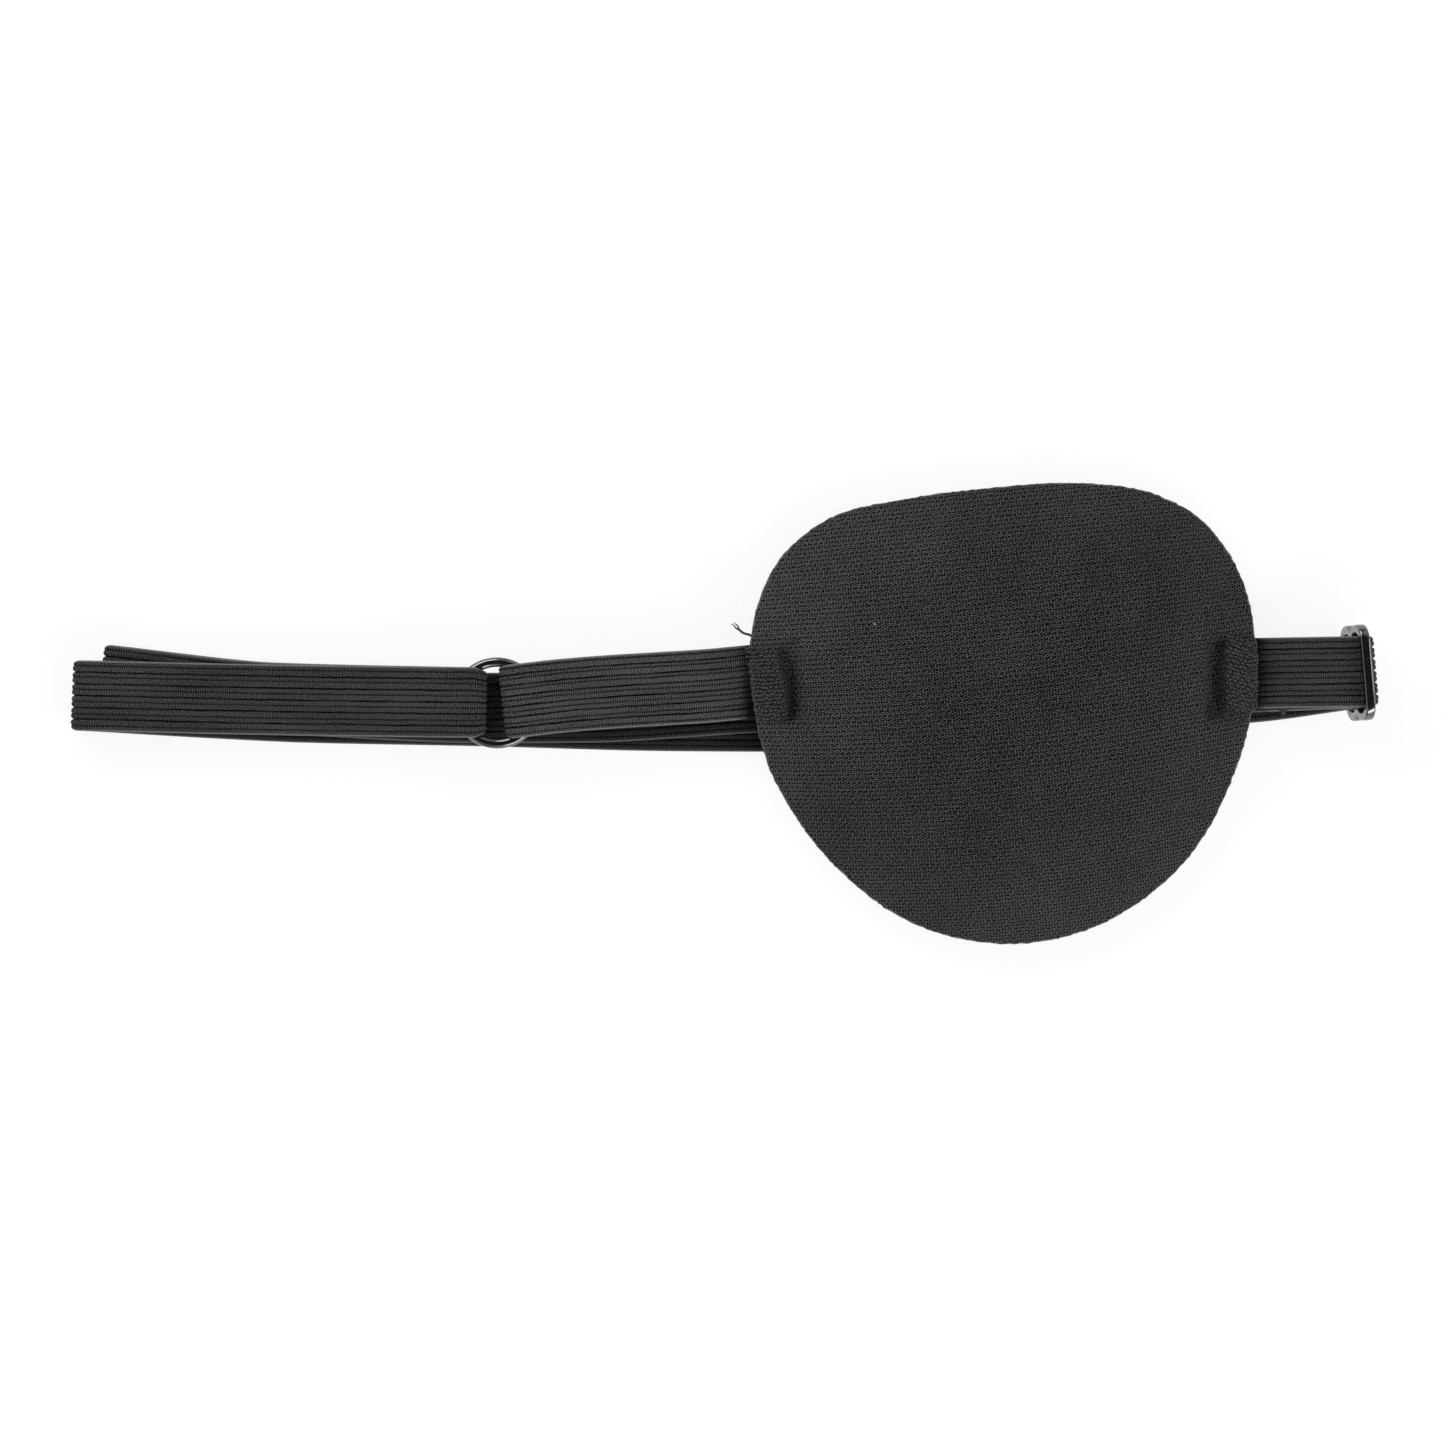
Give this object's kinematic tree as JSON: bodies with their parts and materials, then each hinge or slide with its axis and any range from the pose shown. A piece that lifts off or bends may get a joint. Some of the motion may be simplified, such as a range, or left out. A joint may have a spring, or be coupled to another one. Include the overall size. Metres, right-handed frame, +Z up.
{
  "type": "eye patch",
  "caption": "Domed fabric eye patch on an adjustable elastic strap with a ring and a slider, laid face up with the strap folded back beneath it.",
  "frame": {"origin": "middle of the part's box, at the height of the table that it lies on", "axes": "+X along the strap from the folded left end to the slider, +Y towards the wearer's forehead side of the patch, +Z up out of the patch's outer face"},
  "size_m": [0.2282, 0.08, 0.012],
  "materials": {
    "cloth": "fine black knit, matt",
    "foam": "black foam, matt",
    "elastic": "black ribbed knit elastic, matt",
    "thread": "black sewing thread, faint sheen",
    "black_metal": "gloss black coating"
  },
  "bodies": {
    "patch": {"face_cloth": "cloth", "foam_core": "foam", "lining_cloth": "cloth", "left_tack_needle_thread": "thread", "left_tack_bobbin_thread": "thread", "right_tack_needle_thread": "thread", "right_tack_bobbin_thread": "thread", "ring_tab": "elastic", "strap_anchor_run": "elastic", "strap_lower_run": "elastic", "strap_upper_run": "elastic", "strap_ring_loop": "elastic"},
    "ring": {"ring": "black_metal"},
    "left_folds": {"strap_outer_fold": "elastic", "strap_inner_fold": "elastic"},
    "slider_loops": {"strap_slider_fold": "elastic", "strap_sewn_end": "elastic", "end_seam_needle_thread": "thread", "end_seam_bobbin_thread": "thread"},
    "slider": {"slider": "black_metal"}
  },
  "joints": [
    {"name": "ring_turn", "type": "hinge", "parent": "patch", "child": "ring", "pos_m": [-0.03942, 0.00181, 0.0046], "axis": [0, 0, 1], "continuous": true},
    {"name": "slider_slide", "type": "slide", "parent": "patch", "child": "slider_loops", "axis": [1, 0, 0], "range_m": [-0.003, 0.05], "deforming": ["strap_anchor_run", "strap_lower_run", "strap_upper_run"]},
    {"name": "fold_slide", "type": "slide", "parent": "patch", "child": "left_folds", "axis": [1, 0, 0], "range_m": [-0.00225, 0.0375], "deforming": ["strap_ring_loop", "strap_lower_run", "strap_upper_run"]},
    {"name": "slider_tilt", "type": "hinge", "parent": "slider_loops", "child": "slider", "pos_m": [0.11028, 0.00703, 0.00581], "axis": [-0.0854, 0.9963, 0], "range_deg": [-20, 8]}
  ],
  "couplings": [
    {"joint": "fold_slide", "follows": "slider_slide", "ratio": 0.75}
  ]
}
